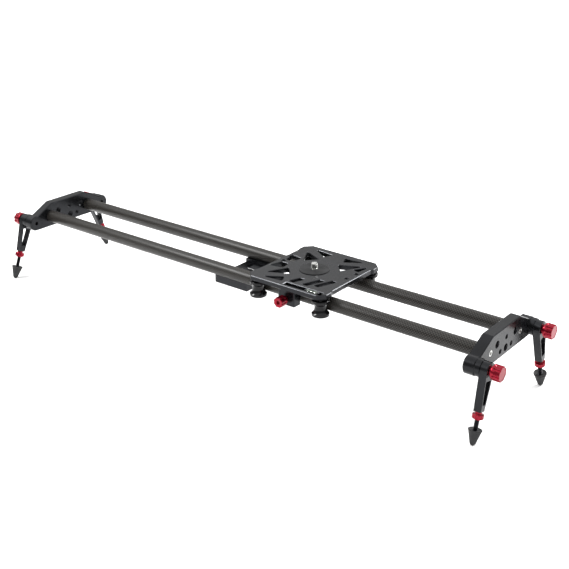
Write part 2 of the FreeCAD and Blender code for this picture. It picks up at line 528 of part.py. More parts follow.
def lock(place):
    """Block under the carriage's front edge; its knob presses a pad on the front tube."""
    block = box(-LOCK_HALF_X, LOCK_HALF_X, LOCK_Y0, LOCK_Y1, LOCK_Z0, PLATE_Z0)
    upright = [e for e in block.Edges if e.BoundBox.ZLength > 1 and e.BoundBox.YMin < LOCK_Y0 + 1]
    block = block.makeChamfer(LOCK_EDGE, upright)
    pad_back = LOCK_Y1 - PAD_POCKET
    pad_front = -(RAIL_Y + TUBE_R + PAD_GAP + PAD_TRAVEL)
    thread = rod(M6_R + RUN, LOCK_Y1 - LOCK_Y0, V(0, LOCK_Y0, 0), Y_AXIS)
    pocket = rod(PAD_R + RUN, LOCK_Y1 - pad_back, V(0, pad_back, 0), Y_AXIS)
    cuts, screws = [thread, pocket], []
    for x, y in LOCK_SCREWS:
        mouth = V(x, y, LOCK_Z0)
        head_top = mouth + V(0, 0, UNDER_SUNK)
        head_foot = head_top + V(0, 0, M4_HEAD_H)
        cuts.append(rod(M4_R + SHANK_ROOM, PLATE_Z0 - LOCK_Z0, mouth, Z_AXIS))
        cuts.append(rod(M4_HEAD_R + HEAD_ROOM, head_foot.z - mouth.z, mouth, Z_AXIS))
        head = rod(M4_HEAD_R, M4_HEAD_H, head_top, Z_AXIS)
        shank = rod(M4_R, PLATE_Z0 + LOCK_SCREW_IN - head_foot.z, head_foot, Z_AXIS)
        screws.append(head.fuse(shank).cut(hex_socket(M4_HEX, M4_R, head_top, Z_AXIS)))
    pad_start = pad_back + PAD_BACK_GAP
    pad = rod(PAD_R, pad_front - pad_start, V(0, pad_start, 0), Y_AXIS)
    neck_y = LOCK_Y0 - PAD_GAP - PAD_TRAVEL
    knob = fluted_knob(LOCK_KNOB_R, LOCK_KNOB_L, LOCK_NECK_R, LOCK_NECK_L,
                       M6_R + FIT, LOCK_SCREW_IN_KNOB + 0.1)
    knob = knob.cut(hex_socket(LOCK_HEX, LOCK_HEX_DEPTH, V(LOCK_NECK_L + LOCK_KNOB_L, 0, 0), -X_AXIS))
    knob = knob.rotated(V(0, 0, 0), Z_AXIS, -90).translated(V(0, neck_y, 0))
    screw_start = neck_y - LOCK_SCREW_IN_KNOB
    screw = rod(M6_R, pad_start - RUN - screw_start, V(0, screw_start, 0), Y_AXIS)
    save("lock_block", [block.cut(cuts).translated(place)])
    save("lock_block_screws", [s.translated(place) for s in screws])
    save("lock_pad", [pad.translated(place)])
    save("lock_knob", [knob.translated(place)])
    save("lock_screw", [screw.translated(place)])


def camera_mount(place):
    """Camera screw from below, through a thin grip pad on the plate."""
    hole = rod(CAM_SHANK_R + RUN, 10, V(0, 0, PLATE_Z1), Z_AXIS)
    pad = rod(CAM_PAD_R, CAM_PAD_H, V(0, 0, PLATE_Z1), Z_AXIS).cut(hole)
    head_z = PLATE_Z0 + CAM_HEAD_SUNK
    head = rod(CAM_HEAD_R, CAM_HEAD_H - CAM_HEAD_SUNK, V(0, 0, head_z), Z_AXIS)
    head = head.cut(box(-CAM_HEAD_R, CAM_HEAD_R, -COIN_SLOT_HALF, COIN_SLOT_HALF,
                        head_z, head_z + COIN_SLOT_DEPTH))
    shank_z = PLATE_Z0 + CAM_HEAD_H
    stud_z = PLATE_Z1 + CAM_PAD_H + 0.1
    shank = rod(CAM_SHANK_R, stud_z - shank_z, V(0, 0, shank_z), Z_AXIS)
    stud = rod(CAM_SCREW_R, CAM_SCREW_UP, V(0, 0, stud_z), Z_AXIS)
    stud = stud.makeChamfer(CAM_TIP_EDGE, [e for e in stud.Edges if e.BoundBox.ZMin > stud_z + 1])
    save("camera_pad", [pad.translated(place)])
    save("camera_screw", [stud.fuse([shank, head]).translated(place)])


def spirit_level(place):
    """Vial lying in the pocket behind the front edge, held by a cap at each end."""
    start = V(LEVEL_X - LEVEL_L / 2, LEVEL_Y, PLATE_Z1 - LEVEL_DEPTH + 0.1 + LEVEL_R)
    vial = rod(LEVEL_R, LEVEL_L, start, X_AXIS)
    caps = []
    for x in (start.x - LEVEL_CAP_L, start.x + LEVEL_L):
        caps.append(box(x, x + LEVEL_CAP_L, LEVEL_Y - LEVEL_CAP_HALF, LEVEL_Y + LEVEL_CAP_HALF,
                        PLATE_Z1 - LEVEL_DEPTH, PLATE_Z1 + 0.4))
    save("level_vial", [vial.translated(place)])
    save("level_caps", [cap.translated(place) for cap in caps])


def carriage():
    place = V(CAR_X, 0, AXIS_Z)
    save("carriage_plate", [plate().translated(place)])
    rollers(place)
    lock(place)
    camera_mount(place)
    spirit_level(place)


os.makedirs("parts", exist_ok=True)
rails()
bracket()
legs()
carriage()
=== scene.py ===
import json
from math import asin, atan2, cos, pi, radians, sin, sqrt

import bmesh
import bpy
from mathutils import Euler, Matrix, Vector


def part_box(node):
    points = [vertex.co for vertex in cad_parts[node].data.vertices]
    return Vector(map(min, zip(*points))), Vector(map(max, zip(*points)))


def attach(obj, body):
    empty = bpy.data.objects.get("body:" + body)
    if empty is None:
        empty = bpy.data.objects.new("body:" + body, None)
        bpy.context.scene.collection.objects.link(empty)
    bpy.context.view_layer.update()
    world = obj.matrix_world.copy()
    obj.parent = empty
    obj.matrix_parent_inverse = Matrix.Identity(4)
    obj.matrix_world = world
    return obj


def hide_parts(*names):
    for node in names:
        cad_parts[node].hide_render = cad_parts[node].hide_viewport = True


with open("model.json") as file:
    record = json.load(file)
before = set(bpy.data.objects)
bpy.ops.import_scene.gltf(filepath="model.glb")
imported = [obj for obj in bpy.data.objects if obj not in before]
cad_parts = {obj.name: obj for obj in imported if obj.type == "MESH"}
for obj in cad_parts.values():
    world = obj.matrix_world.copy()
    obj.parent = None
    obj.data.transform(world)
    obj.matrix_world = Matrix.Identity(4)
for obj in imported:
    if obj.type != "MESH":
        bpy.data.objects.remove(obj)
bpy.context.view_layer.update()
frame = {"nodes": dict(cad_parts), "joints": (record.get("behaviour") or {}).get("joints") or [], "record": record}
nodes = frame["nodes"]
joints = {joint["name"]: joint for joint in frame["joints"]}
corners = [side + "_" + row for side in ("left", "right") for row in ("front", "rear")]


# ---------------------------------------------------------------- end blocks, bracket and plates
# Each end block is sawn from aluminium plate, milled, bead blasted and then dyed black in the
# anodising bath. The middle bracket, the legs, the lock block and the carriage plate get the same
# finish, so this section makes the material for all of them.

def linear(code, alpha=1.0):
    """Colour for a shader from an sRGB hex code."""
    values = [int(code[i:i + 2], 16) / 255 for i in (1, 3, 5)]
    return [v / 12.92 if v <= 0.04045 else ((v + 0.055) / 1.055) ** 2.4 for v in values] + [alpha]


def add(tree, kind, inputs=None, **settings):
    """Adds a node with its settings, and fills its inputs with values or links."""
    made = tree.nodes.new("ShaderNode" + kind)
    for name, value in settings.items():
        setattr(made, name, value)
    for socket, value in (inputs or {}).items():
        if isinstance(value, bpy.types.NodeSocket):
            tree.links.new(value, made.inputs[socket])
        else:
            made.inputs[socket].default_value = value
    return made


def start_material(name, **settings):
    """A material's tree and its main shader, with the settings that are the same all over."""
    material = bpy.data.materials.new(name)
    material.use_nodes = True
    tree = material.node_tree
    shader = tree.nodes["Principled BSDF"]
    for socket, value in settings.items():
        shader.inputs[socket.replace("_", " ")].default_value = value
    return material, tree, shader


def per_mm(size):
    """Scale of a pattern on metre coordinates whose grain is size millimetres."""
    return 1000.0 / size


def blasted_black():
    """Black anodised aluminium: a satin, faintly blue black whose blasted grain breaks up the gloss.
    Handling leaves soft patches that are a little lighter and duller."""
    material, tree, shader = start_material("anodised_aluminium_black", Metallic=0.75)
    where = add(tree, "TexCoord").outputs["Object"]
    # blasting grit leaves 0.1 mm pits, drawn at 0.35 mm because finer ones don't show
    grit = add(tree, "TexNoise", {"Vector": where, "Scale": per_mm(0.35), "Detail": 3.0})
    patches = add(tree, "TexNoise", {"Vector": where, "Scale": per_mm(38.0), "Detail": 4.0})
    tone = add(tree, "ValToRGB", {"Fac": patches.outputs["Fac"]})
    tone.color_ramp.elements[0].position, tone.color_ramp.elements[1].position = 0.3, 0.72
    tone.color_ramp.elements[0].color = linear("#1c1d1f")
    tone.color_ramp.elements[1].color = linear("#252629")
    speckle = add(tree, "MapRange", {"Value": grit.outputs["Fac"], "From Min": 0.3, "From Max": 0.7,
                                     "To Min": 0.86, "To Max": 1.12})
    colour = add(tree, "VectorMath", {0: tone.outputs["Color"], 1: speckle.outputs["Result"]},
                 operation="MULTIPLY")
    gloss = add(tree, "MapRange", {"Value": patches.outputs["Fac"], "From Min": 0.3, "From Max": 0.7,
                                   "To Min": 0.2, "To Max": 0.28})
    pits = add(tree, "Bump", {"Height": grit.outputs["Fac"], "Strength": 0.22, "Distance": 0.0001})
    tree.links.new(colour.outputs["Vector"], shader.inputs["Base Color"])
    tree.links.new(gloss.outputs["Result"], shader.inputs["Roughness"])
    tree.links.new(pits.outputs["Normal"], shader.inputs["Normal"])
    return material


def dress(material, *names):
    """Gives CAD pieces, whose shape is already right, their finish."""
    for name in names:
        slots = nodes[name].data.materials
        slots.clear()
        slots.append(material)


black_aluminium = blasted_black()
dress(black_aluminium, "end_block_left", "end_block_right", "middle_bracket", "carriage_plate",
      "lock_block", *["leg_" + corner for corner in corners])


# ---------------------------------------------------------------- carbon tubes
# Two wrapped carbon fibre tubes. The outer wrap is a fine plain-woven cloth, set in epoxy and rubbed
# down to a satin surface, so the weave shows as rows of small squares along the tube, their light and
# dark partly painted in: a painted sheen on the lengthwise tows and painted shade between the tows.

TUBE_WALL, TUBE_EDGE = 0.0018, 0.0002
TUBE_STEPS = 120


def spun(profile, steps, closed=True):
    """Turns a profile of (radius, height) points round the Z axis into a closed shell."""
    shell = bmesh.new()
    verts = [shell.verts.new((radius, 0, height)) for radius, height in profile]
    pairs = list(zip(verts, verts[1:]))
    if closed:
        pairs.append((verts[-1], verts[0]))
    edges = [shell.edges.new(pair) for pair in pairs]
    bmesh.ops.spin(shell, geom=verts + edges, cent=(0, 0, 0), axis=(0, 0, 1), dvec=(0, 0, 0),
                   angle=2 * pi, steps=steps, use_merge=True)
    bmesh.ops.remove_doubles(shell, verts=shell.verts, dist=1e-7)
    bmesh.ops.recalc_face_normals(shell, faces=shell.faces)
    return shell


def soften(shell, width, sharp=radians(30), segments=2):
    """Rounds the edges of a shell that turn by more than an angle."""
    edges = [e for e in shell.edges if e.is_manifold and e.calc_face_angle(0) > sharp]
    bmesh.ops.bevel(shell, geom=edges, offset=width, offset_type="OFFSET", affect="EDGES",
                    segments=segments, profile=0.5, material=-1, clamp_overlap=True)


def stand(point, axis, turn=0.0):
    """Placing matrix that puts a piece made along +Z at a point, along an axis."""
    lean = Vector(axis).to_track_quat("Z", "Y").to_matrix().to_4x4()
    return Matrix.Translation(point) @ lean @ Matrix.Rotation(turn, 4, "Z")


def piece(shell, name, place, body, material, slot, *stands_for, sharp=radians(28)):
    """Makes a shell an object of its own: its place along its own axis is kept as an attribute,
    its mesh is put in place, and it rides on its body and stands for its CAD pieces."""
    bmesh.ops.recalc_face_normals(shell, faces=shell.faces)
    own = shell.verts.layers.float_vector.new("own_place")
    for vert in shell.verts:
        vert[own] = vert.co
    for face in shell.faces:
        face.smooth = True
    for edge in shell.edges:
        edge.smooth = edge.calc_face_angle(0) < sharp
    bmesh.ops.transform(shell, matrix=place, verts=shell.verts)
    mesh = bpy.data.meshes.new(name)
    shell.to_mesh(mesh)
    shell.free()
    mesh.materials.append(material)
    made = bpy.data.objects.new(name, mesh)
    bpy.context.scene.collection.objects.link(made)
    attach(made, body)
    if stands_for:
        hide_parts(*stands_for)
    return made


def woven_carbon(radius):
    """Carbon cloth under satin epoxy: charcoal tows with fine filament streaks, the lengthwise ones
    painted far brighter than the crosswise ones as a painted sheen, and every tow painted darker
    towards its edges as painted shade between the tows. The radius is in millimetres."""
    material, tree, shader = start_material("carbon_fibre_weave", Roughness=0.38, Specular_IOR_Level=0.3)
    # 46 tows of 1.3 mm go round the tube, drawn as 30 of 2 mm because finer ones don't show
    around = 30
    tow = 2 * pi * radius / around
    own = add(tree, "SeparateXYZ", {"Vector": add(tree, "Attribute", attribute_name="own_place")
                                    .outputs["Vector"]})
    angle = add(tree, "Math", {0: own.outputs["Y"], 1: own.outputs["X"]}, operation="ARCTAN2")
    across = add(tree, "Math", {0: angle.outputs["Value"], 1: around / (2 * pi)}, operation="MULTIPLY")
    along = add(tree, "Math", {0: own.outputs["Z"], 1: per_mm(tow)}, operation="MULTIPLY")
    cell_a = add(tree, "Math", {0: across.outputs["Value"]}, operation="FLOOR")
    cell_b = add(tree, "Math", {0: along.outputs["Value"]}, operation="FLOOR")
    step = add(tree, "Math", {0: cell_a.outputs["Value"], 1: cell_b.outputs["Value"]}, operation="ADD")
    # plain weave: each tow passes over one and under one, and the lengthwise squares get a painted sheen, so that
    # light squares stand in rows
    over = add(tree, "Math", {0: step.outputs["Value"], 1: 2.0}, operation="FLOORED_MODULO")
    lengthwise = add(tree, "Math", {0: over.outputs["Value"], 1: 0.5}, operation="LESS_THAN")
    part_a = add(tree, "Math", {0: across.outputs["Value"]}, operation="FRACT")
    part_b = add(tree, "Math", {0: along.outputs["Value"]}, operation="FRACT")
    crown_a = add(tree, "Math", {0: part_a.outputs["Value"], 1: pi}, operation="MULTIPLY")
    crown_b = add(tree, "Math", {0: part_b.outputs["Value"], 1: pi}, operation="MULTIPLY")
    hump_a = add(tree, "Math", {0: crown_a.outputs["Value"]}, operation="SINE")
    hump_b = add(tree, "Math", {0: crown_b.outputs["Value"]}, operation="SINE")
    hump = add(tree, "Mix", {"Factor": lengthwise.outputs["Value"], "A": hump_b.outputs["Value"],
                             "B": hump_a.outputs["Value"]}, data_type="FLOAT")
    # filaments are 7 thousandths of a millimetre, drawn as 0.25 mm streaks so that they show
    lines = add(tree, "CombineXYZ", {"X": across.outputs["Value"], "Y": along.outputs["Value"]})
    stretch_a = add(tree, "VectorMath", {0: lines.outputs["Vector"], 1: (7.0, 0.7, 1.0)},
                    operation="MULTIPLY")
    stretch_b = add(tree, "VectorMath", {0: lines.outputs["Vector"], 1: (0.7, 7.0, 1.0)},
                    operation="MULTIPLY")
    streak_a = add(tree, "TexNoise", {"Vector": stretch_a.outputs["Vector"], "Scale": 1.0, "Detail": 2.0})
    streak_b = add(tree, "TexNoise", {"Vector": stretch_b.outputs["Vector"], "Scale": 1.0, "Detail": 2.0})
    streak = add(tree, "Mix", {"Factor": lengthwise.outputs["Value"], "A": streak_b.outputs["Fac"],
                               "B": streak_a.outputs["Fac"]}, data_type="FLOAT")
    # painted sheen: the lengthwise tows are painted far lighter than the crosswise ones, in place of the light
    # they catch
    base = add(tree, "Mix", {"Factor": lengthwise.outputs["Value"], "A": linear("#050505"),
                             "B": linear("#3b3834")}, data_type="RGBA")
    shade = add(tree, "MapRange", {"Value": streak.outputs["Result"], "From Min": 0.3, "From Max": 0.7,
                                   "To Min": 0.75, "To Max": 1.25})
    # painted shade: each tow is painted darker towards its edges, where shade falls between the tows
    groove = add(tree, "MapRange", {"Value": hump.outputs["Result"], "From Min": 0.0, "From Max": 0.6,
                                    "To Min": 0.25, "To Max": 1.0})
    tint = add(tree, "Math", {0: shade.outputs["Result"], 1: groove.outputs["Result"]},
               operation="MULTIPLY")
    colour = add(tree, "VectorMath", {0: base.outputs[2], 1: tint.outputs["Value"]},
                 operation="MULTIPLY")
    relief = add(tree, "Bump", {"Height": hump.outputs["Result"], "Strength": 0.5, "Distance": 0.00008})
    tree.links.new(colour.outputs["Vector"], shader.inputs["Base Color"])
    tree.links.new(relief.outputs["Normal"], shader.inputs["Normal"])
    return material


tube_low, tube_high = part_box("tube_front")
tube_radius = (tube_high.z - tube_low.z) / 2
tube_bore = tube_radius - TUBE_WALL
tube_length = tube_high.x - tube_low.x
carbon = woven_carbon(tube_radius * 1000)
for row in ("front", "rear"):
    low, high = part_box("tube_" + row)
    start = Vector((low.x, (low.y + high.y) / 2, (low.z + high.z) / 2))
    wall = spun([(tube_bore, 0), (tube_radius, 0), (tube_radius, tube_length), (tube_bore, tube_length)],
                TUBE_STEPS)
    soften(wall, TUBE_EDGE)
    piece(wall, "carbon_tube_" + row, stand(start, (1, 0, 0)), "rails", carbon, "carbon_fibre",
          "tube_" + row)


# ---------------------------------------------------------------- tapped holes
# The end blocks, the bracket and the carriage plate have standard camera threads, cut with a tap
# straight into the aluminium before anodising: 3/8 in with 16 turns to the inch and 1/4 in with 20.

def thread(base, tip, pitch, length, steps=20):
    """Helical ridge along +Z, from its root radius to its crest radius, outside or inside."""
    overlap, half, flat = 0.00006, pitch * 0.46, pitch * 0.1
    sunk = base - overlap if tip > base else base + overlap
    ridge = bmesh.new()
    verts = [ridge.verts.new(co) for co in ((sunk, 0, -half), (sunk, 0, half),
                                            (tip, 0, flat), (tip, 0, -flat))]
    edges = [ridge.edges.new((verts[i - 1], verts[i])) for i in range(4)]
    bmesh.ops.translate(ridge, vec=(0, 0, pitch / 2), verts=verts)
    count = int((length - pitch) / pitch * steps)
    bmesh.ops.spin(ridge, geom=verts + edges, cent=(0, 0, 0), axis=(0, 0, 1),
                   dvec=(0, 0, pitch / steps), angle=2 * pi * count / steps, steps=count)
    bmesh.ops.holes_fill(ridge, edges=[e for e in ridge.edges if e.is_boundary], sides=4)
    bmesh.ops.recalc_face_normals(ridge, faces=ridge.faces)
    return ridge


def gathered(shells):
    """One shell that holds several, each given with its placing matrix."""
    whole = bmesh.new()
    for shell, place in shells:
        bmesh.ops.transform(shell, matrix=place, verts=shell.verts)
        part = bpy.data.meshes.new("part")
        shell.to_mesh(part)
        shell.free()
        whole.from_mesh(part)
        bpy.data.meshes.remove(part)
    return whole


INCH = 0.0254
PITCH_3_8, PITCH_1_4 = INCH / 16, INCH / 20
LEAD_IN = 0.0006         # left plain at the two ends of a tapped hole, together
THREAD_DEPTH = 0.52      # share of the pitch
tapped = {}
for mount in frame["record"]["mounts"]:
    if mount["kind"] == "threaded_hole":
        wall = mount["dims"]["r_mm"] / 1000
        length = mount["dims"]["length_mm"] / 1000 - LEAD_IN
        pitch = PITCH_3_8 if wall > 0.004 else PITCH_1_4
        axis = Vector(mount["axis"])
        start = Vector(mount["pos_m"]) - axis * length / 2
        group = mount["name"].split("_thread")[0]
        shell = thread(wall, wall - THREAD_DEPTH * pitch, pitch, length)
        tapped.setdefault(group, []).append((shell, stand(start, axis)))
for group, shells in tapped.items():
    body = "carriage" if group == "accessory" else "rails"
    piece(gathered(shells), "tapped_threads_" + group, Matrix(), body, black_aluminium, "anodised_black")


# ---------------------------------------------------------------- screws
# Socket cap screws, cold headed with a hexagon socket. Those in the tube ends are bright zinc
# plated; the bracket's, the lock block's and the rollers' are black oxide steel.

SCREW_STEPS = 96


def ground_steel(name, dark, light, roughness):
    """Steel with fine turning marks and the slight mottling of its plating or black oxide."""
    material, tree, shader = start_material(name, Metallic=1.0)
    where = add(tree, "TexCoord").outputs["Object"]
    mottle = add(tree, "TexNoise", {"Vector": where, "Scale": per_mm(1.6), "Detail": 5.0})
    tone = add(tree, "ValToRGB", {"Fac": mottle.outputs["Fac"]})
    tone.color_ramp.elements[0].position, tone.color_ramp.elements[1].position = 0.35, 0.7
    tone.color_ramp.elements[0].color = linear(dark)
    tone.color_ramp.elements[1].color = linear(light)
    gloss = add(tree, "MapRange", {"Value": mottle.outputs["Fac"], "From Min": 0.3, "From Max": 0.7,
                                   "To Min": roughness * 1.25, "To Max": roughness * 0.8})
    # turning marks every 0.12 mm
    marks = add(tree, "TexNoise", {"Vector": where, "Scale": per_mm(0.12), "Detail": 1.0})
    relief = add(tree, "Bump", {"Height": marks.outputs["Fac"], "Strength": 0.12, "Distance": 0.00005})
    tree.links.new(tone.outputs["Color"], shader.inputs["Base Color"])
    tree.links.new(gloss.outputs["Result"], shader.inputs["Roughness"])
    tree.links.new(relief.outputs["Normal"], shader.inputs["Normal"])
    return material


def hexagon(shell, ring, across, low, high):
    """Presses the rings at one radius, between two heights, out to a hexagon socket's walls."""
    for vert in shell.verts:
        radius = vert.co.xy.length
        if abs(radius - ring) < 1e-6 and low < vert.co.z < high:
            turn = (atan2(vert.co.y, vert.co.x) + pi / 6) % (pi / 3) - pi / 6
            vert.co.xy *= across / 2 / cos(turn) / radius


def cap_screw(head_r, head_h, shank_r, reach, across, socket):
    """Cap screw whose head's top is at the origin, facing +Z, with a knurled head."""
    ring, rim, knurl = across * 0.55, 0.00035, 0.00012
    shell = spun([(0, -socket), (ring, -socket), (ring, -0.0003), (ring + 0.0004, 0), (head_r, 0),
                  (head_r, -0.0008), (head_r, 0.0006 - head_h), (head_r, -head_h), (shank_r, -head_h),
                  (shank_r, -head_h - reach), (0, -head_h - reach)], SCREW_STEPS, closed=False)
    hexagon(shell, ring, across, -socket - 1e-5, -0.0001)
    rims = [e for e in shell.edges if e.is_manifold and e.calc_face_angle(0) > 1.0
            and all(abs(v.co.xy.length - head_r) < 1e-6 for v in e.verts)]
    bmesh.ops.bevel(shell, geom=rims, offset=rim, offset_type="OFFSET", affect="EDGES",
                    segments=3, profile=0.5, material=-1)
    for vert in shell.verts:
        step = round(atan2(vert.co.y, vert.co.x) / (2 * pi) * SCREW_STEPS)
        on_side = vert.co.xy.length > head_r - 2e-5 and -head_h + 0.0005 < vert.co.z < -0.0007
        if on_side and step % 2:
            vert.co.xy *= 1 - knurl / head_r
    return shell


bright_steel = ground_steel("zinc_plated_steel", "#b9bab8", "#dcdcd8", 0.24)
black_steel = ground_steel("black_oxide_steel", "#232325", "#3a3a3d", 0.33)


def solid_boxes(node):
    """Boxes of the separate solids in one CAD piece."""
    shell = bmesh.new()
    shell.from_mesh(nodes[node].data)
    bmesh.ops.remove_doubles(shell, verts=shell.verts, dist=1e-6)
    left, boxes = set(shell.verts), []
    while left:
        front, found = [left.pop()], []
        while front:
            vert = front.pop()
            found.append(vert.co.copy())
            for edge in vert.link_edges:
                other = edge.other_vert(vert)
                if other in left:
                    left.remove(other)
                    front.append(other)
        boxes.append((Vector(map(min, *found)), Vector(map(max, *found))))
    shell.free()
    return sorted(boxes, key=lambda box: tuple(round(v, 4) for v in box[0]))


def place_screws(node, name, axis, head_r, head_h, shank_r, across, socket, body, material, slot):
    """Puts a cap screw on each of a CAD piece's separate solids. Heads face along the axis, or where
    it has no length, away from the middle of the rails."""
    shells = []
    face = Vector(axis)
    for low, high in solid_boxes(node):
        centre = (low + high) / 2
        out = face if face.length > 0 else Vector((centre.x, 0, 0)).normalized()
        half = abs((high - low).dot(out)) / 2
        shells.append((cap_screw(head_r, head_h, shank_r, 2 * half - head_h, across, socket),
                       stand(centre + out * half, out)))
    piece(gathered(shells), name, Matrix(), body, material, slot, node)


# head radius, head height, shank radius, socket across flats and socket depth
M5, M4 = (0.00425, 0.005, 0.0025, 0.004, 0.0025), (0.0035, 0.004, 0.002, 0.003, 0.002)
M5_LOW_HEAD = (0.004, 0.0032, 0.0025, 0.004, 0.0022)
OUTWARDS, DOWN = (0, 0, 0), (0, 0, -1)
place_screws("tube_end_screws", "tube_end_screws_zinc", OUTWARDS, *M5, "rails", bright_steel,
             "steel_bright")
place_screws("bracket_screws", "bracket_screws_black", DOWN, *M5, "rails", black_steel, "steel_black")
place_screws("lock_block_screws", "lock_block_screws_black", DOWN, *M4, "carriage", black_steel,
             "steel_black")
place_screws("roller_axle_screws", "roller_axle_screws_black", DOWN, *M5_LOW_HEAD, "carriage",
             black_steel, "steel_black")
dress(black_steel, *["leg_pivot_screw_" + corner for corner in corners])


# ---------------------------------------------------------------- hidden fittings
# Turned aluminium plugs in the tubes and spacers on the roller screws, left bare, and thin nylon
# friction washers between the end blocks and the legs.

def bare_aluminium():
    """Turned aluminium as it leaves the lathe: pale, with faint mottling from handling."""
    material, tree, shader = start_material("turned_aluminium", Metallic=1.0)
    where = add(tree, "TexCoord").outputs["Object"]
    mottle = add(tree, "TexNoise", {"Vector": where, "Scale": per_mm(2.5), "Detail": 4.0})
    tone = add(tree, "Mix", {"Factor": mottle.outputs["Fac"], "A": linear("#b4b6b8"),
                             "B": linear("#d2d3d4")}, data_type="RGBA")
    gloss = add(tree, "MapRange", {"Value": mottle.outputs["Fac"], "To Min": 0.24, "To Max": 0.4})
    tree.links.new(tone.outputs[2], shader.inputs["Base Color"])
    tree.links.new(gloss.outputs["Result"], shader.inputs["Roughness"])
    return material


def nylon():
    """Black nylon, turned from bar: matt, with the soft blotches of a drawn plastic."""
    material, tree, shader = start_material("nylon_black", IOR=1.53)
    where = add(tree, "TexCoord").outputs["Object"]
    blotch = add(tree, "TexNoise", {"Vector": where, "Scale": per_mm(1.2), "Detail": 3.0})
    tone = add(tree, "Mix", {"Factor": blotch.outputs["Fac"], "A": linear("#141415"),
                             "B": linear("#232325")}, data_type="RGBA")
    gloss = add(tree, "MapRange", {"Value": blotch.outputs["Fac"], "To Min": 0.42, "To Max": 0.6})
    tree.links.new(tone.outputs[2], shader.inputs["Base Color"])
    tree.links.new(gloss.outputs["Result"], shader.inputs["Roughness"])
    return material


dress(bare_aluminium(), "tube_inserts", "bracket_tube_slugs", "roller_spacers")
dress(nylon(), "leg_friction_washers", "lock_pad")


# ---------------------------------------------------------------- red knobs
# The clamp knobs on the leg pivots and the carriage lock are turned from aluminium, scalloped
# with a ball-nose cutter, polished and dyed red. A narrow neck stands between knob and leg.

KNOB_STEPS = 192
FLUTES = 8


def dyed_red():
    """Red anodised aluminium: a deep glossy crimson under its clear oxide, with fine lathe rings
    on every turned face."""
    material, tree, shader = start_material("anodised_aluminium_red", Metallic=0.9, Coat_Weight=0.25,
                                            Coat_Roughness=0.05)
    own = add(tree, "Attribute", attribute_name="own_place").outputs["Vector"]
    parts = add(tree, "SeparateXYZ", {"Vector": own})
    flat = add(tree, "CombineXYZ", {"X": parts.outputs["X"], "Y": parts.outputs["Y"]})
    radius = add(tree, "VectorMath", {0: flat.outputs["Vector"]}, operation="LENGTH")
    ring_place = add(tree, "CombineXYZ", {"X": radius.outputs["Value"], "Y": parts.outputs["Z"]})
    # lathe rings 0.2 mm apart
    rings = add(tree, "TexNoise", {"Vector": ring_place.outputs["Vector"], "Scale": per_mm(0.2),
                                   "Detail": 1.0})
    cloud = add(tree, "TexNoise", {"Vector": own, "Scale": per_mm(5.0), "Detail": 3.0})
    tone = add(tree, "Mix", {"Factor": cloud.outputs["Fac"], "A": linear("#7a061b"),
                             "B": linear("#930a25")}, data_type="RGBA")
    gloss = add(tree, "MapRange", {"Value": rings.outputs["Fac"], "From Min": 0.3, "From Max": 0.7,
                                   "To Min": 0.2, "To Max": 0.34})
    relief = add(tree, "Bump", {"Height": rings.outputs["Fac"], "Strength": 0.18, "Distance": 0.00006})
    tree.links.new(tone.outputs[2], shader.inputs["Base Color"])
    tree.links.new(gloss.outputs["Result"], shader.inputs["Roughness"])
    tree.links.new(relief.outputs["Normal"], shader.inputs["Normal"])
    return material


def reach_along(node, point, axis):
    """Where a CAD piece starts and ends along an axis through a point."""
    heights = [(vert.co - point).dot(axis) for vert in nodes[node].data.vertices]
    return min(heights), max(heights)


def flute(shell, radius, start, cutter, depth, count):
    """Scallops the side of a knob: the cutter enters a little above the neck and runs out at the top."""
    centre, core = radius + cutter - depth, radius * 0.6
    for vert in shell.verts:
        own = vert.co.xy.length
        if own < core or vert.co.z <= start:
            continue
        turn = (atan2(vert.co.y, vert.co.x) + pi / count) % (2 * pi / count) - pi / count
        entry = min((vert.co.z - start) / cutter, 1.0)
        nose = cutter * sqrt(1 - (1 - entry) ** 2)
        inside = nose ** 2 - (centre * sin(turn)) ** 2
        if inside > 0:
            limit = centre * cos(turn) - sqrt(inside)
            if own > limit:
                vert.co.xy *= limit / own


def knob(radius, neck_r, neck, height, bore, socket=None):
    """Scalloped knob on +Z, its neck at the origin, with rounded rims and a shallow face recess."""
    rims, edge, recess, counterbore = 0.0007, 0.0003, 0.0003, 0.0006
    top, face = neck + height, neck + height - recess
    side = [neck + rims + (height - 2 * rims) * i / 10 for i in range(11)]
    profile = [(0, counterbore), (bore, counterbore), (bore, 0), (neck_r - edge, 0), (neck_r, edge),
               (neck_r, neck - edge), (neck_r + edge, neck), (radius - rims, neck),
               (radius - rims * 0.3, neck + rims * 0.3)]
    profile += [(radius, z) for z in side]
    profile += [(radius - rims * 0.3, top - rims * 0.3), (radius - rims, top),
                (radius * 0.80, top), (radius * 0.77, face)]
    if socket:
        ring, depth = socket * 0.56, 0.003
        profile += [(ring + 0.0006, face), (ring, face - 0.0005), (ring, face - depth),
                    (0, face - depth)]
    else:
        profile += [(radius * 0.45, face), (radius * 0.2, face), (0, face)]
    shell = spun(profile, KNOB_STEPS, closed=False)
    if socket:
        hexagon(shell, ring, socket, face - 0.0031, face - 0.0001)
    return shell


red_aluminium = dyed_red()
KNOB_R, KNOB_NECK, KNOB_NECK_R, KNOB_BORE = 0.0100, 0.0031, 0.0064, 0.0031
FLUTE_R, FLUTE_DEPTH, FLUTE_START = 0.0028, 0.0014, 0.0015
for corner in corners:
    joint = joints["leg_knob_turn_" + corner]
    pivot, out = Vector(joint["pos_m"]), Vector(joint["axis"])
    start, end = reach_along("leg_knob_" + corner, pivot, out)
    shell = knob(KNOB_R, KNOB_NECK_R, KNOB_NECK, end - start - KNOB_NECK, KNOB_BORE)
    flute(shell, KNOB_R, KNOB_NECK + FLUTE_START, FLUTE_R, FLUTE_DEPTH, FLUTES)
    piece(shell, "leg_clamp_knob_" + corner, stand(pivot + out * start, out), "leg_knob_body_" + corner,
          red_aluminium, "anodised_red", "leg_knob_" + corner, sharp=radians(40))

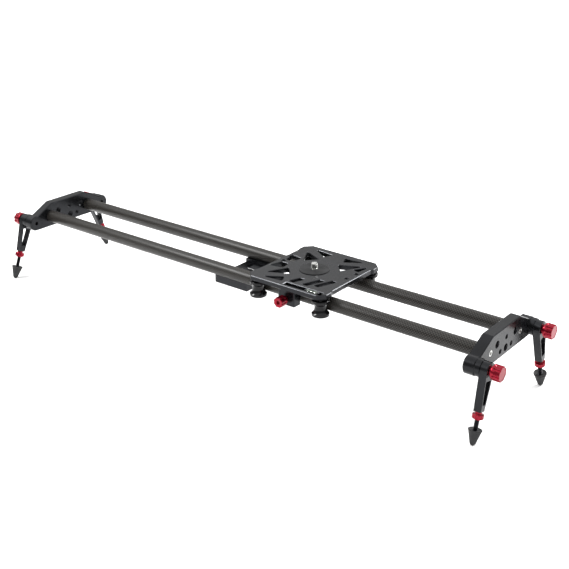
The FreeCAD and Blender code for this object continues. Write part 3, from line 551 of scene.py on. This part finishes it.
joint = joints["lock_knob_turn"]
screw_line, out = Vector(joint["pos_m"]), -Vector(joint["axis"])
start, end = reach_along("lock_knob", screw_line, out)
LOCK_KNOB_R, LOCK_NECK, LOCK_NECK_R, LOCK_SOCKET = 0.0075, 0.0047, 0.0045, 0.005
shell = knob(LOCK_KNOB_R, LOCK_NECK_R, LOCK_NECK, end - start - LOCK_NECK, KNOB_BORE, LOCK_SOCKET)
flute(shell, LOCK_KNOB_R, LOCK_NECK + FLUTE_START, FLUTE_R, FLUTE_DEPTH * 0.75, FLUTES)
piece(shell, "carriage_lock_knob", stand(screw_line + out * start, out), "lock_knob_body",
      red_aluminium, "anodised_red", "lock_knob", sharp=radians(40))


# ---------------------------------------------------------------- screw feet
# Each foot is a black M6 stud that screws up into the leg, a red lock nut that jams against the
# leg's end, and a moulded rubber cone on the stud's lower end.

def moulded_rubber():
    """Black rubber as it leaves a sparked mould: matt charcoal, fine-grained, a little cloudy."""
    material, tree, shader = start_material("moulded_rubber_black", IOR=1.52, Specular_IOR_Level=0.35)
    own = add(tree, "Attribute", attribute_name="own_place").outputs["Vector"]
    # the mould's 0.15 mm grain, drawn at 0.3 mm so that it shows
    grain = add(tree, "TexNoise", {"Vector": own, "Scale": per_mm(0.3), "Detail": 2.0})
    cloud = add(tree, "TexNoise", {"Vector": own, "Scale": per_mm(4.0), "Detail": 4.0})
    tone = add(tree, "ValToRGB", {"Fac": cloud.outputs["Fac"]})
    tone.color_ramp.elements[0].position, tone.color_ramp.elements[1].position = 0.35, 0.72
    tone.color_ramp.elements[0].color = linear("#1f1f20")
    tone.color_ramp.elements[1].color = linear("#2e2e2f")
    gloss = add(tree, "MapRange", {"Value": cloud.outputs["Fac"], "To Min": 0.6, "To Max": 0.82})
    relief = add(tree, "Bump", {"Height": grain.outputs["Fac"], "Strength": 0.35, "Distance": 0.00012})
    tree.links.new(tone.outputs["Color"], shader.inputs["Base Color"])
    tree.links.new(gloss.outputs["Result"], shader.inputs["Roughness"])
    tree.links.new(relief.outputs["Normal"], shader.inputs["Normal"])
    return material


def threaded_rod(radius, pitch, length, steps=20):
    """Threaded stud on +Z with chamfered ends. A metric thread is 0.61 of its pitch deep."""
    core, chamfer, lead_in = radius - 0.61 * pitch, 0.0003, 0.0002
    shell = spun([(0, 0), (core, 0), (core, length), (0, length)], 32, closed=False)
    soften(shell, chamfer)
    ridge = thread(core, radius, pitch, length - 2 * lead_in, steps)
    return gathered([(shell, Matrix()), (ridge, Matrix.Translation((0, 0, lead_in)))])


def lock_nut(height):
    """Thumb nut on +Z, top at the origin and lip down: collar, knurled rim and a small lip."""
    collar_r, rim_r, lip_r, bore = 0.0043, 0.0072, 0.0040, 0.00305
    collar, rim = 0.0026, 0.0062
    low = collar + rim
    profile = [(bore, 0.0002), (bore + 0.0002, 0), (collar_r - 0.0002, 0), (collar_r, 0.0002),
               (collar_r, collar - 0.0003), (collar_r + 0.0003, collar), (rim_r - 0.0011, collar),
               (rim_r - 0.0004, collar + 0.0002), (rim_r, collar + 0.0008)]
    profile += [(rim_r, collar + 0.0012 + (rim - 0.0024) * i / 4) for i in range(5)]
    profile += [(rim_r, low - 0.0008), (rim_r - 0.0004, low - 0.0002), (rim_r - 0.0011, low),
                (lip_r + 0.0003, low), (lip_r, low + 0.0003), (lip_r, height - 0.0002),
                (lip_r - 0.0002, height), (bore + 0.0002, height), (bore, height - 0.0002)]
    shell = spun(profile, KNOB_STEPS)
    lobes, grip_depth = 10, 0.00055
    for vert in shell.verts:
        own = vert.co.xy.length
        if own > rim_r - 0.0003 and collar + 0.0010 < vert.co.z < low - 0.0010:
            turn = (atan2(vert.co.y, vert.co.x) * lobes) % (2 * pi)
            vert.co.xy *= 1 - grip_depth / rim_r * max(0.0, cos(turn)) ** 1.5
    return shell


def cone(height):
    """Rubber cone on +Z, dished top at the origin and round tip down the axis."""
    rim_r, tip_r, bore = 0.00875, 0.0040, 0.00302
    centre = height - tip_r
    lean = asin((rim_r - tip_r) / (centre - 0.0006))
    arc = [lean + (pi / 2 - lean) * i / 10 for i in range(11)]
    profile = [(0, 0.0090), (bore, 0.0090), (bore, 0.0017), (bore + 0.0008, 0.0015),
               (rim_r - 0.0026, 0.0010), (rim_r - 0.0014, 0.0006), (rim_r - 0.0009, 0.0001),
               (rim_r - 0.0004, 0.0), (rim_r - 0.0001, 0.0002), (rim_r, 0.0006),
               (rim_r - 0.0002, 0.0016), (rim_r - 0.00045, 0.0019), (rim_r - 0.0006, 0.0022)]
    side_r, side_z = tip_r * cos(lean), centre + tip_r * sin(lean)
    for i in range(1, 9):
        share = i / 9
        profile.append(((rim_r - 0.0006) * (1 - share) + side_r * share,
                        0.0022 * (1 - share) + side_z * share))
    profile += [(tip_r * cos(a), centre + tip_r * sin(a)) for a in arc[:-1]]
    profile.append((0, height))
    return spun(profile, 96, closed=False)


rubber = moulded_rubber()
M6_R, PITCH_M6 = 0.003, 0.001
for corner in corners:
    joint = joints["foot_adjust_" + corner]
    down = Vector(joint["axis"])
    nut_line = Vector(joints["lock_nut_turn_" + corner]["pos_m"])
    start, end = reach_along("foot_lock_nut_" + corner, nut_line, down)
    piece(lock_nut(end - start), "lock_nut_" + corner, stand(nut_line + down * start, down),
          "lock_nut_body_" + corner, red_aluminium, "anodised_red", "foot_lock_nut_" + corner,
          sharp=radians(40))
    start, end = reach_along("foot_stud_" + corner, nut_line, down)
    piece(threaded_rod(M6_R, PITCH_M6, end - start), "threaded_stud_" + corner,
          stand(nut_line + down * start, down), "foot_body_" + corner, black_steel, "steel_black",
          "foot_stud_" + corner)
    start, end = reach_along("foot_cone_" + corner, nut_line, down)
    piece(cone(end - start), "rubber_cone_" + corner, stand(nut_line + down * start, down),
          "foot_body_" + corner, rubber, "rubber_black", "foot_cone_" + corner, sharp=radians(60))


# ---------------------------------------------------------------- rollers
# Four grooved wheels turned from black acetal, polished by running on the tubes. Each one turns on
# two ball bearings, which sit in pockets in its ends and have a dust shield each.

def acetal():
    """Black acetal: dense and glossy, with lathe rings that only show in the highlights."""
    material, tree, shader = start_material("acetal_black", IOR=1.48, Coat_Weight=0.1,
                                            Coat_Roughness=0.04, Specular_IOR_Level=0.22)
    own = add(tree, "Attribute", attribute_name="own_place").outputs["Vector"]
    parts = add(tree, "SeparateXYZ", {"Vector": own})
    flat = add(tree, "CombineXYZ", {"X": parts.outputs["X"], "Y": parts.outputs["Y"]})
    radius = add(tree, "VectorMath", {0: flat.outputs["Vector"]}, operation="LENGTH")
    ring_place = add(tree, "CombineXYZ", {"X": radius.outputs["Value"], "Y": parts.outputs["Z"]})
    # lathe rings 0.25 mm apart
    rings = add(tree, "TexNoise", {"Vector": ring_place.outputs["Vector"], "Scale": per_mm(0.25),
                                   "Detail": 1.0})
    tone = add(tree, "Mix", {"Factor": rings.outputs["Fac"], "A": linear("#060607"),
                             "B": linear("#0d0d0e")}, data_type="RGBA")
    gloss = add(tree, "MapRange", {"Value": rings.outputs["Fac"], "To Min": 0.1, "To Max": 0.2})
    relief = add(tree, "Bump", {"Height": rings.outputs["Fac"], "Strength": 0.12, "Distance": 0.00006})
    tree.links.new(tone.outputs[2], shader.inputs["Base Color"])
    tree.links.new(gloss.outputs["Result"], shader.inputs["Roughness"])
    tree.links.new(relief.outputs["Normal"], shader.inputs["Normal"])
    return material


def grooved_wheel(half):
    """Roller on Z, its middle at the origin, with a round groove that fits the tube."""
    groove_r, waist, flange = 0.0098, 0.00835, 0.0120
    pocket, step_r, pocket_z, low_pocket_z = 0.00652, 0.0055, 0.0073, -0.0042
    centre = waist + groove_r
    edge = sqrt(groove_r ** 2 - (centre - flange) ** 2)
    soft = 0.0011
    side = [(flange - soft + soft * sin(a), -half + soft - soft * cos(a))
            for a in (radians(15 * i) for i in range(7))]
    side.append((flange, -edge - 0.0002))
    turn = asin(edge / groove_r)
    groove = [(centre - groove_r * cos(a), groove_r * sin(a))
              for a in (-turn + 2 * turn * i / 24 for i in range(25))]
    upper = [(r, -z) for r, z in reversed(side)]
    inner = [(pocket + 0.0003, half), (pocket, half - 0.0003), (pocket, pocket_z), (step_r, pocket_z),
             (step_r, low_pocket_z), (pocket, low_pocket_z), (pocket, 0.0003 - half),
             (pocket + 0.0003, -half)]
    return spun(inner + side + groove + upper, 128)


def shielded_bearing(height):
    """Outer ring of a ball bearing on +Z, with a dust shield sunk in each face."""
    outer, ring, shield, sunk = 0.0065, 0.0057, 0.0041, 0.00025
    return spun([(ring, 0), (outer - 0.0003, 0), (outer, 0.0003), (outer, height - 0.0003),
                 (outer - 0.0003, height), (ring, height), (ring - 0.0001, height - sunk),
                 (shield + 0.0003, height - sunk), (shield, height - sunk - 0.0002),
                 (shield, sunk + 0.0002), (shield + 0.0003, sunk), (ring - 0.0001, sunk)], 64)


black_acetal = acetal()
bearing_steel = ground_steel("ground_bearing_steel", "#a9aaac", "#c6c7c9", 0.2)
dress(bearing_steel, "roller_inner_races")
for corner in corners:
    low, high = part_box("roller_" + corner)
    hub = (low + high) / 2
    piece(grooved_wheel((high.z - low.z) / 2), "grooved_roller_" + corner, stand(hub, (0, 0, 1)),
          "roller_body_" + corner, black_acetal, "roller_polymer", "roller_" + corner,
          sharp=radians(35))
    shells = [(shielded_bearing(top.z - bottom.z), stand((hub.x, hub.y, bottom.z), (0, 0, 1)))
              for bottom, top in solid_boxes("roller_bearings_" + corner)]
    piece(gathered(shells), "ball_bearings_" + corner, Matrix(), "roller_body_" + corner,
          bearing_steel, "bearing_steel", "roller_bearings_" + corner)


# ---------------------------------------------------------------- carriage lock
# The red knob's M6 screw is black oxide steel. It runs through the lock block, which is screwed up
# under the plate, and pushes a nylon pad against the front tube.

start, end = reach_along("lock_screw", screw_line, out)
piece(threaded_rod(M6_R, PITCH_M6, end - start), "lock_screw_threaded",
      stand(screw_line + out * start, out), "lock_knob_body", black_steel, "steel_black", "lock_screw")


# ---------------------------------------------------------------- camera mount
# A 3/8 in screw comes up through the plate and a thin rubber pad, which grips the camera head.
# Its slotted head lies in a counterbore under the plate.

low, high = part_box("camera_pad")
axis_x, axis_y = (low.x + high.x) / 2, (low.y + high.y) / 2
pad_r, pad_h = (high.x - low.x) / 2, high.z - low.z
pad_bore, plain_middle, margin, count, groove = 0.0046, 0.0085, 0.0012, 9, 0.00035
rings = [(pad_bore, 0), (pad_r, 0), (pad_r, pad_h - 0.0003), (pad_r - 0.0003, pad_h)]
pitch = (pad_r - plain_middle) / count
for i in range(count):
    edge = pad_r - margin - pitch * i
    rings += [(edge, pad_h), (edge - 0.0002, pad_h - groove), (edge - 0.0006, pad_h - groove),
              (edge - 0.0008, pad_h)]
rings.append((pad_bore, pad_h))
piece(spun(rings, 96), "camera_grip_pad", stand((axis_x, axis_y, low.z), (0, 0, 1)), "carriage",
      rubber, "rubber_black", "camera_pad")

CAMERA_THREAD_R = 0.00476
low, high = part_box("camera_screw")
head_r = (high.x - low.x) / 2
head_h, shank_r, free = 0.0026, 0.00455, 0.009
shank_top = high.z - low.z - free
shell = spun([(0, 0), (head_r - 0.0004, 0), (head_r, 0.0004), (head_r, head_h - 0.0003),
              (head_r - 0.0003, head_h), (shank_r, head_h), (shank_r, shank_top), (0, shank_top)],
             96, closed=False)
slot_half, slot_depth = 0.0008, 0.0015
for y in (-slot_half, slot_half):
    bmesh.ops.bisect_plane(shell, geom=shell.verts[:] + shell.edges[:] + shell.faces[:],
                           plane_co=(0, y, 0), plane_no=(0, 1, 0))
slot_floor = [f for f in shell.faces if f.normal.z < -0.9 and f.calc_center_median().z < 1e-5
              and abs(f.calc_center_median().y) < slot_half]
sunk = bmesh.ops.extrude_face_region(shell, geom=slot_floor)
bmesh.ops.delete(shell, geom=slot_floor, context="FACES")
bmesh.ops.translate(shell, vec=(0, 0, slot_depth),
                    verts=[v for v in sunk["geom"] if isinstance(v, bmesh.types.BMVert)])
stud = threaded_rod(CAMERA_THREAD_R, PITCH_3_8, free)
screw = gathered([(shell, Matrix()), (stud, Matrix.Translation((0, 0, shank_top)))])
piece(screw, "camera_screw_3_8", stand((axis_x, axis_y, low.z), (0, 0, 1)), "carriage", bright_steel,
      "steel_bright", "camera_screw")


# ---------------------------------------------------------------- spirit level
# A clear acrylic tube, nearly filled with green spirit, lies in a pocket at the front edge between
# two black caps. A thin white ring stands near each end of the tube.

def clear(name, tint, roughness, ior):
    """Clear material with a tint between two close shades, and a slightly uneven gloss."""
    material, tree, shader = start_material(name, Transmission_Weight=0.9, IOR=ior)
    where = add(tree, "TexCoord").outputs["Object"]
    wave = add(tree, "TexNoise", {"Vector": where, "Scale": per_mm(3.0), "Detail": 2.0})
    tone = add(tree, "Mix", {"Factor": wave.outputs["Fac"], "A": linear(tint[0]),
                             "B": linear(tint[1])}, data_type="RGBA")
    gloss = add(tree, "MapRange", {"Value": wave.outputs["Fac"], "To Min": roughness,
                                   "To Max": roughness * 2.5})
    tree.links.new(tone.outputs[2], shader.inputs["Base Color"])
    tree.links.new(gloss.outputs["Result"], shader.inputs["Roughness"])
    return material


def uneven_white():
    """A greyish white that is a little uneven."""
    material, tree, shader = start_material("white_grey_uneven", Roughness=0.4)
    where = add(tree, "TexCoord").outputs["Object"]
    brush = add(tree, "TexNoise", {"Vector": where, "Scale": per_mm(0.5), "Detail": 2.0})
    tone = add(tree, "Mix", {"Factor": brush.outputs["Fac"], "A": linear("#8f8f8b"),
                             "B": linear("#b3b3ae")}, data_type="RGBA")
    tree.links.new(tone.outputs[2], shader.inputs["Base Color"])
    return material


low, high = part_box("level_vial")
vial_r, vial_l = (high.z - low.z) / 2, high.x - low.x
start = Vector((low.x, (low.y + high.y) / 2, (low.z + high.z) / 2))
line = stand(start, (1, 0, 0))
wall_in, liquid_r = vial_r - 0.0005, vial_r - 0.00055
shell = spun([(wall_in, 0.0001), (vial_r, 0.0001), (vial_r, vial_l - 0.0001),
              (wall_in, vial_l - 0.0001)], 64)
acrylic = clear("acrylic_clear", ("#93a193", "#a3b0a3"), 0.03, 1.49)
piece(shell, "level_tube", line, "carriage", acrylic, "level_acrylic", "level_vial")
shell = spun([(0, 0.0003), (liquid_r, 0.0003), (liquid_r, vial_l - 0.0003), (0, vial_l - 0.0003)], 48,
             closed=False)
spirit = clear("spirit_yellow_green", ("#56702a", "#6c8a30"), 0.02, 1.36)
piece(shell, "level_spirit", line, "carriage", spirit, "level_acrylic")
shells = []
band_in, band_out, band_half = vial_r - 0.00002, vial_r + 0.00012, 0.0002
for share in (0.14, 0.86):
    band = spun([(band_in, -band_half), (band_out, -band_half), (band_out, band_half),
                 (band_in, band_half)], 48)
    shells.append((band, Matrix.Translation((0, 0, vial_l * share))))
piece(gathered(shells), "level_white_rings", line, "carriage", uneven_white(), "level_acrylic")

caps = []
for low, high in solid_boxes("level_caps"):
    size = high - low
    cap = bmesh.new()
    bmesh.ops.create_cube(cap, size=1.0)
    bmesh.ops.transform(cap, matrix=Matrix.Diagonal((*size, 1)), verts=cap.verts)
    bmesh.ops.bevel(cap, geom=cap.edges[:], offset=0.0004, offset_type="OFFSET", affect="EDGES",
                    segments=3, profile=0.5, material=-1)
    caps.append((cap, Matrix.Translation((low + high) / 2)))
piece(gathered(caps), "level_end_caps", Matrix(), "carriage", black_steel, "steel_black", "level_caps")


# ---------------------------------------------------------------- studio
# A pale seamless floor under a large evenly lit ceiling. Two narrow soft lights, at the front left
# and the rear right, stand where the machined edges reflect them as bright lines.

def paper():
    """Pale backdrop paper, matt, with barely visible fibres."""
    material, tree, shader = start_material("backdrop_paper", Roughness=0.9)
    where = add(tree, "TexCoord").outputs["Object"]
    fibres = add(tree, "TexNoise", {"Vector": where, "Scale": per_mm(20.0), "Detail": 2.0})
    tone = add(tree, "Mix", {"Factor": fibres.outputs["Fac"], "A": linear("#f4f4f4"),
                             "B": linear("#f8f8f8")}, data_type="RGBA")
    tree.links.new(tone.outputs[2], shader.inputs["Base Color"])
    return material


sheet = bmesh.new()
bmesh.ops.create_grid(sheet, x_segments=2, y_segments=2, size=6.0)
floor_mesh = bpy.data.meshes.new("floor")
sheet.to_mesh(floor_mesh)
sheet.free()
floor_mesh.materials.append(paper())
floor = bpy.data.objects.new("floor", floor_mesh)
bpy.context.scene.collection.objects.link(floor)

world = bpy.data.worlds.new("studio")
bpy.context.scene.world = world
world.use_nodes = True
world.node_tree.nodes["Background"].inputs["Color"].default_value = (1.0, 1.0, 1.0, 1.0)
world.node_tree.nodes["Background"].inputs["Strength"].default_value = 0.4
bpy.context.scene.view_settings.view_transform = "Standard"


def softbox(name, place, target, width, height, watts):
    """Rectangular soft light aimed at a point."""
    light = bpy.data.lights.new(name, "AREA")
    light.shape = "RECTANGLE"
    light.size, light.size_y = width, height
    light.energy = watts
    made = bpy.data.objects.new(name, light)
    made.location = place
    aim = Vector(target) - Vector(place)
    made.rotation_euler = aim.to_track_quat("-Z", "Y").to_euler()
    bpy.context.scene.collection.objects.link(made)


middle = (0.0, 0.0, 0.08)
softbox("light_ceiling", (0.0, 1.5, 5.0), (0.0, 1.5, 0.0), 16.0, 16.0, 860.0)
softbox("light_front_left", (-1.25, -0.87, 1.65), middle, 1.2, 0.22, 40.0)
softbox("light_rear_right", (0.87, 1.6, 1.3), middle, 0.9, 0.28, 42.0)

camera = bpy.data.cameras.new("camera")
camera.sensor_width, camera.lens = 36.0, 62.75
camera.shift_x, camera.shift_y = -0.0141, -0.0024
camera.clip_start, camera.clip_end = 0.05, 20.0
viewer = bpy.data.objects.new("camera", camera)
viewer.location = (0.87747, -1.02013, 0.64563)
azimuth, elevation, roll = radians(38.02), radians(23.306), radians(-0.105)
viewer.rotation_euler = (Euler((pi / 2 - elevation, 0, azimuth)).to_matrix()
                         @ Matrix.Rotation(roll, 3, "Z")).to_euler()
bpy.context.scene.collection.objects.link(viewer)
bpy.context.scene.camera = viewer
